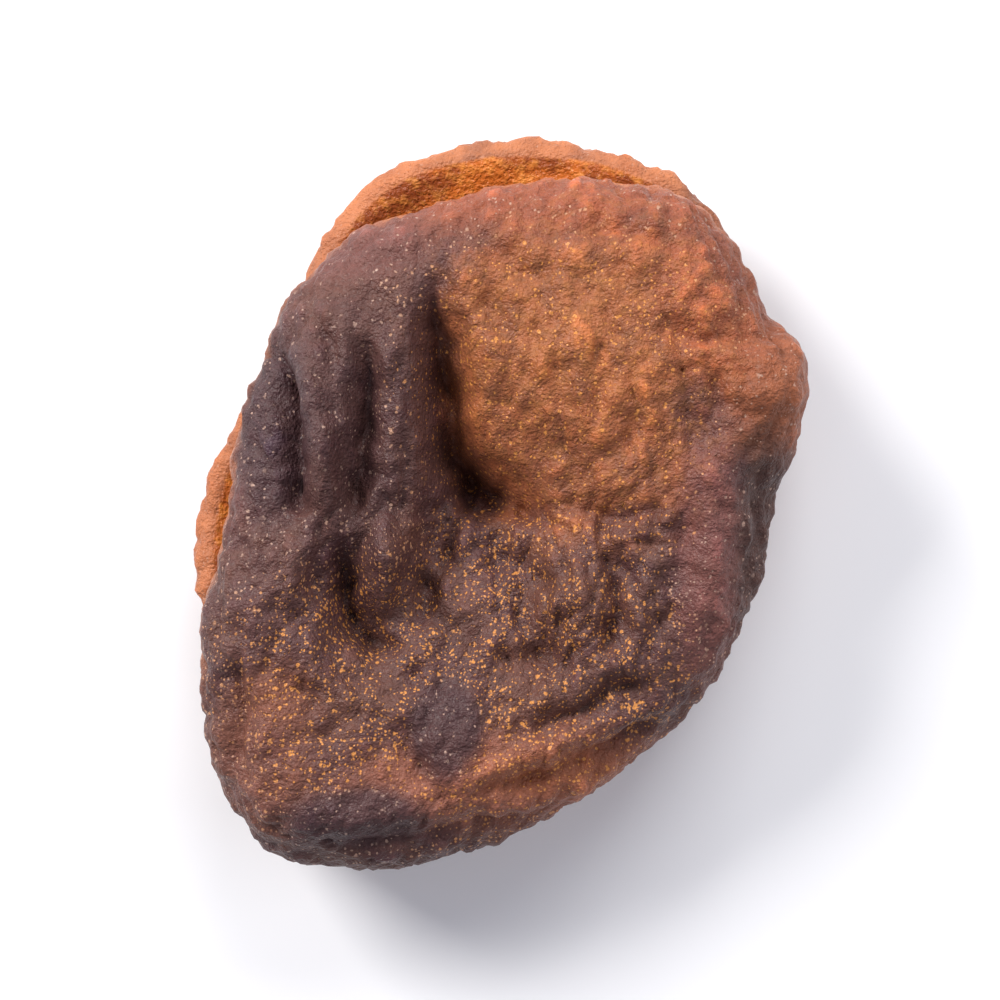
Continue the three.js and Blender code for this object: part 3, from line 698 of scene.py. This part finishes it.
class SkinPlace:
    """What the looks of a point depend on: its place in millimetres, the mesh's facts and noises."""

    def __init__(self, recipe):
        place = recipe.node("TexCoord", {}, {}, "Object")
        self.position = recipe.node("VectorMath", {"operation": "SCALE"}, {0: place, "Scale": 1 / MM})
        self.x = recipe.axis(self.position, "X")
        self.y = recipe.axis(self.position, "Y")
        self.upper = recipe.fact("upper")
        self.fold = recipe.fact("fold")
        self.crinkle = recipe.fact("crinkle")
        self.flesh = recipe.fact("flesh")
        self.large = recipe.cloud(self.position, 6.0, 3.0)
        self.middle = recipe.cloud(self.position, 2.0, 3.0, 0.6, shift=9.0)
        self.fine = recipe.cloud(self.position, 0.6, 2.0, 0.65, shift=4.0)
        self.tone = recipe.cloud(self.position, 0.3, 2.0, 0.7, shift=6.0)
        self.wobble = (self.large - 0.5) * 0.5 + (self.middle - 0.5) * 0.6

    def patch(self, centre, radii, edge):
        """1 inside an oval of the skin and 0 outside, with a wandering edge."""
        across = (self.x - centre[0]) / radii[0]
        along = (self.y - centre[1]) / radii[1]
        away = (across * across + along * along) ** 0.5 + self.wobble
        return 1 - away.step(1 - edge, 1 + edge)


def creases(recipe, position, size, stretch, shift, width):
    """1 along thin lines that wander over the skin, about size millimetres apart, and 0 between them."""
    wandering = recipe.cloud(position, size, 2.0, 0.6, stretch, shift)
    return 1 - abs(wandering - 0.5).step(0.0, width)


def patchy_skin(recipe, colours, here, valley_side):
    """Grey-brown skin with its amber, red, rose and violet patches."""
    skin = recipe.blend(here.middle.step(0.4, 0.62), colours.grey_brown, colours.violet_brown)
    ruddy = (here.large + (here.fine - 0.5) * 0.3).step(0.48, 0.7) * 0.6
    skin = recipe.blend(ruddy, skin, colours.red_brown)
    for oval, strength, colour in GLOWING_PATCHES:
        mask = here.patch(*oval) * valley_side * here.upper * strength
        skin = recipe.blend(mask, skin, getattr(colours, colour))
    for oval, strength, colour in PATCHES:
        mask = here.patch(*oval) * here.upper * strength
        skin = recipe.blend(mask, skin, getattr(colours, colour))
    back = (1 - here.upper) * (here.large.step(0.35, 0.6) * 0.8 + 0.2)
    return recipe.blend(back, skin, colours.amber)


def wrinkled_skin(recipe, colours, here, skin, glow, plain):
    """Adds painted highlights on crests, painted shade in wrinkles, folds and crazing lines, and a fine
    uneven tone.
    """
    # Thin crazing lines, painted darker below as shade in fine creases.
    upright = creases(recipe, here.position, 1.5, (1.0, 0.4, 0.7), 12.0, 0.14)
    crossing = creases(recipe, here.position, 1.1, (0.6, 1.0, 0.8), 15.0, 0.12)
    crazed = (upright * 0.8 + crossing * 0.6) * here.middle.step(0.3, 0.65)
    # Painted highlights: the crests between wrinkles, away from folds and plain facets, are lighter, gold on
    # the amber patch and pale elsewhere.
    raised = here.crinkle.step(0.3, 0.0) * 0.5 + (here.fine - 0.42) * 1.6
    crest = raised * (1 - here.fold.step(0.1, 0.8)) * (1 - plain * 0.8)
    skin = recipe.blend(crest * glow * 0.8, skin, colours.gold_and_highlight)
    skin = recipe.blend(crest * (1 - glow) * 0.14, skin, colours.glint)
    # Painted shade: darker in wrinkles, along the crazing lines and in folds.
    skin = recipe.blend(here.crinkle.step(0.2, 0.75) * 0.55, skin, colours.shade_brown)
    skin = recipe.blend(crazed * (0.14 + glow * 0.2), skin, colours.shade_brown)
    skin = recipe.blend(here.fold.step(0.4, 2.6) * 0.3, skin, colours.shade_brown)
    darker = recipe.blend(0.4, skin, (0.0, 0.0, 0.0))
    return recipe.blend((here.tone - 0.5) * 1.8 + 0.6, darker, skin)


def specks(recipe, here, dusting):
    """1 on ragged grains of several sizes, denser where the dusting is, and 0 between them."""
    speck = 0.0
    for size, shift in GRAINS:
        near, own = recipe.grains(here.position, size, shift)
        ragged = near + (here.tone - 0.5) * 1.2
        grain = (1 - ragged.step(0.12, 0.36)) * (own + dusting * (USUAL_GRAIN / size)).step(0.97, 1.1)
        speck = speck + grain * (1 - speck)
    return speck


def slit_flesh(recipe, colours, here):
    """Golden flesh with brighter patches, painted darker, as shade, further into the slit."""
    inner = recipe.blend(here.middle.step(0.38, 0.6), colours.flesh, colours.flesh_dark)
    # Painted shade: the flesh is darker further into the slit.
    inner = recipe.blend(recipe.fact("recess").step(0.05, 0.5), inner, colours.recess)
    return recipe.blend((here.fine - 0.45) * 1.8, inner, colours.gold_and_highlight)


def skin_material(colours):
    """Waxy skin, grey-brown to amber, with golden specks and painted glints, painted highlights and shade,
    and bright flesh in the slit.
    """
    recipe = Recipe("dried_skin")
    here = SkinPlace(recipe)
    valley_side = (here.x + (here.middle - 0.5) * 1.2 + (here.y - 4) * 0.08).step(-3.3, -2.1)
    glow = here.patch(*GLOW) * valley_side * here.upper
    plain = here.patch(*LUMP) + here.patch(*LOW_FACET)
    skin = patchy_skin(recipe, colours, here, valley_side)
    skin = wrinkled_skin(recipe, colours, here, skin, glow, plain)

    low_dust = here.patch(*LOW_DUST) * (1 - plain * 0.9)
    high_dust = here.patch(*HIGH_DUST)
    dusting = (low_dust * 0.42 + high_dust * 0.14) * (0.3 + here.middle.step(0.35, 0.65)) + 0.09
    speck = specks(recipe, here, dusting)
    # Specks: golden sugar grains in the dusted ovals and painted pale glints elsewhere.
    golden = recipe.blend((low_dust + high_dust).step(0.2, 0.8), colours.glint, colours.speck)
    skin = recipe.blend(speck * 0.75, skin, golden)
    # Paler skin along the lips, partly the skin's own edge and partly painted light shining through the thin
    # lip.
    pale_lit_share = recipe.fact("edge") * (0.3 + here.middle.step(0.35, 0.65) * 0.5)
    skin = recipe.blend(pale_lit_share, skin, colours.pale_lit_edge)

    inside = (here.flesh + (here.fine - 0.5) * 0.3).step(0.35, 0.65)
    grit = recipe.cloud(here.position, 0.14, 1.0, shift=2.0)
    height = here.fine * 0.35 + here.tone * 0.5 + grit * 0.25
    looks = {
        "Base Color": recipe.blend(inside, skin, slit_flesh(recipe, colours, here)),
        "Roughness": 0.42 + (here.fine - 0.5) * 0.3 - speck * 0.12 - here.flesh * 0.08,
        "Normal": recipe.node("Bump", {}, {"Strength": 1.0, "Distance": 0.0003, "Height": height}),
        "IOR": 1.42,
        "Specular IOR Level": 0.3,
    }
    return recipe.finish(recipe.node("BsdfPrincipled", {}, looks))


def size_property(label, meaning, metres):
    """A length that a user may change."""
    return bpy.props.FloatProperty(name=label, description=meaning, default=metres, unit="LENGTH")


def count_property(label, meaning, count):
    """A whole number that a user may change."""
    return bpy.props.IntProperty(name=label, description=meaning, default=count)


def colour_property(label, meaning, seen):
    """A colour that a user may change, given as it is seen."""
    return bpy.props.FloatVectorProperty(
        name=label, description=meaning, subtype="COLOR", size=3, min=0, max=1, default=paint(*seen)
    )


class FruitSizes(bpy.types.PropertyGroup):
    """The driving sizes of the fruit."""

    length: size_property("Length", "Outline from the gaping end to the stem end", 0.037)
    seam_height: size_property("Seam height", "Seam above the floor", 0.0054)
    rim_rise: size_property("Rim rise", "Crest of the upper rim above the seam", 0.005)
    rim_drop: size_property("Rim drop", "Shoulder of the lower rim below the seam", 0.0037)
    belly: size_property("Belly", "How much fuller the lower half is at its middle", 0.0027)
    hollow: size_property("Hollow", "How far the upper face sinks to its middle", 0.0009)
    lip_reach: size_property("Lip reach", "Breadth of the rounded rim of each half", 0.0043)
    lip_tuck: size_property("Lip tuck", "How far a lip turns under at the slit", 0.0009)
    lip_curl: size_property("Lip curl", "How far the lower lip rises at its edge", 0.0009)
    slit_depth: size_property("Slit depth", "From the lips to the end of the slit", 0.0068)
    seam_crease: size_property("Seam crease", "Depth of the seam where the halves are joined", 0.0006)
    seam_width: size_property("Seam width", "Width of the seam where the halves are joined", 0.0012)
    rim_wave: size_property("Rim wave", "How far the rim lifts and drops on its way round", 0.0007)
    floor_ease: size_property("Floor ease", "How softly the belly meets its flat spot", 0.0005)
    fineness: size_property("Fineness", "Spacing of the points on the faces", 0.00024)
    rim_points: count_property("Rim points", "Points round the rim", 400)
    lip_rings: count_property("Lip rings", "Rings of points over each lip", 34)
    slit_rings: count_property("Slit rings", "Rings of points on each slit wall", 14)


class SkinColours(bpy.types.PropertyGroup):
    """The colours of skin and flesh, and of the highlights, shade and light through the lips painted on
    them.
    """

    grey_brown: colour_property("Grey brown", "Main skin colour", (118, 78, 70))
    violet_brown: colour_property("Violet brown", "Smooth darker skin", (102, 65, 68))
    violet: colour_property("Violet", "Smooth dark facets", (74, 51, 62))
    red_brown: colour_property("Red brown", "Warmer parts of the skin", (136, 84, 66))
    rose: colour_property("Rose", "Smooth parts of the rim", (160, 96, 90))
    red_orange: colour_property("Red orange", "Warm lower rim", (196, 118, 90))
    # Painted shade in folds, wrinkles and crazing lines, and on the dim right rim.
    shade_brown: colour_property("Deep brown", "Folds, wrinkles and crazing", (80, 54, 48))
    amber: colour_property("Amber", "Where the skin lets the flesh shine through", (222, 125, 72))
    gold: colour_property("Gold", "Brightest amber", (232, 137, 76))
    orange: colour_property("Orange", "Upper rim beside the slit", (224, 116, 70))
    speck: colour_property("Speck", "Small golden specks", (226, 150, 76))
    # Painted highlights: the pale specks and the crests of the skin away from the amber patch.
    glint: colour_property("Glint", "Small pale specks and dull crests", (182, 148, 132))
    # Paler skin along the lips, partly the skin's own edge and partly painted light shining through the thin
    # lip.
    pale_lit_edge: colour_property("Skin edge", "Pale edge of the skin along the slit", (196, 122, 80))
    flesh: colour_property("Flesh", "Flesh in the slit", (194, 103, 40))
    flesh_dark: colour_property("Dark flesh", "Deeper flesh in the slit", (140, 68, 32))
    # Painted highlight on the crests of the amber patch; in the slit, brighter patches of flesh.
    gold_and_highlight: colour_property("Bright gold", "Crests of amber skin and of flesh", (242, 160, 74))
    # Painted shade deep in the slit.
    recess: colour_property("Recess", "Flesh at the bottom of the slit", (88, 46, 26))


class StudioSetup(bpy.types.PropertyGroup):
    """Floor, lights and camera."""

    distance: size_property("Distance", "Camera above the fruit", 0.132)
    lens: bpy.props.FloatProperty(name="Lens", description="Focal length", default=100, unit="CAMERA")
    floor: colour_property("Floor", "Pale floor", (248, 248, 250))
    key_power: bpy.props.FloatProperty(
        name="Key light", description="Power of the light from the upper left", default=1.7, unit="POWER"
    )
    fill: bpy.props.FloatProperty(name="Fill", description="Strength of the light all round", default=0.26)


class APRICOT_OT_fruit(bpy.types.Operator):
    """Build the dried apricot and dress it in skin"""

    bl_idname = "apricot.fruit"
    bl_label = "Fruit"

    def execute(self, context):
        fruit = bpy.data.objects.new("dried_apricot", fruit_mesh(context.scene.fruit_sizes))
        context.scene.collection.objects.link(fruit)
        fruit.data.materials.append(skin_material(context.scene.skin_colours))
        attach(fruit, "root")
        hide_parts(FRUIT)
        return {"FINISHED"}


def area_light(name, place, target, size, power, colour):
    """Adds a square light that shines at the target."""
    light = bpy.data.lights.new(name, "AREA")
    light.size = size
    light.energy = power
    light.color = colour
    lamp = bpy.data.objects.new(name, light)
    lamp.location = place
    lamp.rotation_euler = (target - lamp.location).to_track_quat("-Z", "Y").to_euler()
    bpy.context.scene.collection.objects.link(lamp)


class APRICOT_OT_stage(bpy.types.Operator):
    """Lay a pale floor and set up soft light and the camera above the fruit"""

    bl_idname = "apricot.stage"
    bl_label = "Stage"

    def execute(self, context):
        studio = context.scene.studio_setup
        middle = (LOW + HIGH) / 2
        bpy.ops.mesh.primitive_plane_add(size=FLOOR_SIZE, location=(0, 0, 0))
        floor = context.object
        floor.name = "floor"
        recipe = Recipe("pale_floor")
        look = {"Base Color": (*studio.floor, 1), "Roughness": 0.9, "Specular IOR Level": 0.1}
        floor.data.materials.append(recipe.finish(recipe.node("BsdfPrincipled", {}, look)))

        world = bpy.data.worlds.new("soft_box")
        context.scene.world = world
        world.use_nodes = True
        background = world.node_tree.nodes["Background"]
        background.inputs["Color"].default_value = SKY
        background.inputs["Strength"].default_value = studio.fill
        for name, place, size, share, colour in LIGHTS:
            area_light(name, place, middle, size, studio.key_power * share, colour)

        camera = bpy.data.objects.new("camera", bpy.data.cameras.new("camera"))
        context.scene.collection.objects.link(camera)
        camera.data.lens = studio.lens
        camera.location = (middle.x, middle.y, HIGH.z + studio.distance)
        camera.data.clip_start = 0.01
        context.scene.camera = camera
        context.scene.view_settings.view_transform = "Standard"
        return {"FINISHED"}


class APRICOT_PT_panel(bpy.types.Panel):
    """The pieces of the dried apricot"""

    bl_label = "Dried Apricot"
    bl_idname = "APRICOT_PT_panel"
    bl_space_type = "VIEW_3D"
    bl_region_type = "UI"
    bl_category = "Apricot"

    def draw(self, context):
        for operator in (APRICOT_OT_stage, APRICOT_OT_fruit):
            self.layout.operator(operator.bl_idname)
        for group in (context.scene.fruit_sizes, context.scene.skin_colours, context.scene.studio_setup):
            column = self.layout.column(heading=group.bl_rna.name)
            for name in group.__annotations__:
                column.prop(group, name)


GROUPS = {"fruit_sizes": FruitSizes, "skin_colours": SkinColours, "studio_setup": StudioSetup}
CLASSES = (*GROUPS.values(), APRICOT_OT_fruit, APRICOT_OT_stage, APRICOT_PT_panel)


def register():
    for cls in CLASSES:
        bpy.utils.register_class(cls)
    for name, group in GROUPS.items():
        setattr(bpy.types.Scene, name, bpy.props.PointerProperty(type=group))


def unregister():
    for name in GROUPS:
        delattr(bpy.types.Scene, name)
    for cls in reversed(CLASSES):
        bpy.utils.unregister_class(cls)


def main():
    register()
    bpy.ops.apricot.stage()
    bpy.ops.apricot.fruit()


if __name__ == "__main__":
    main()
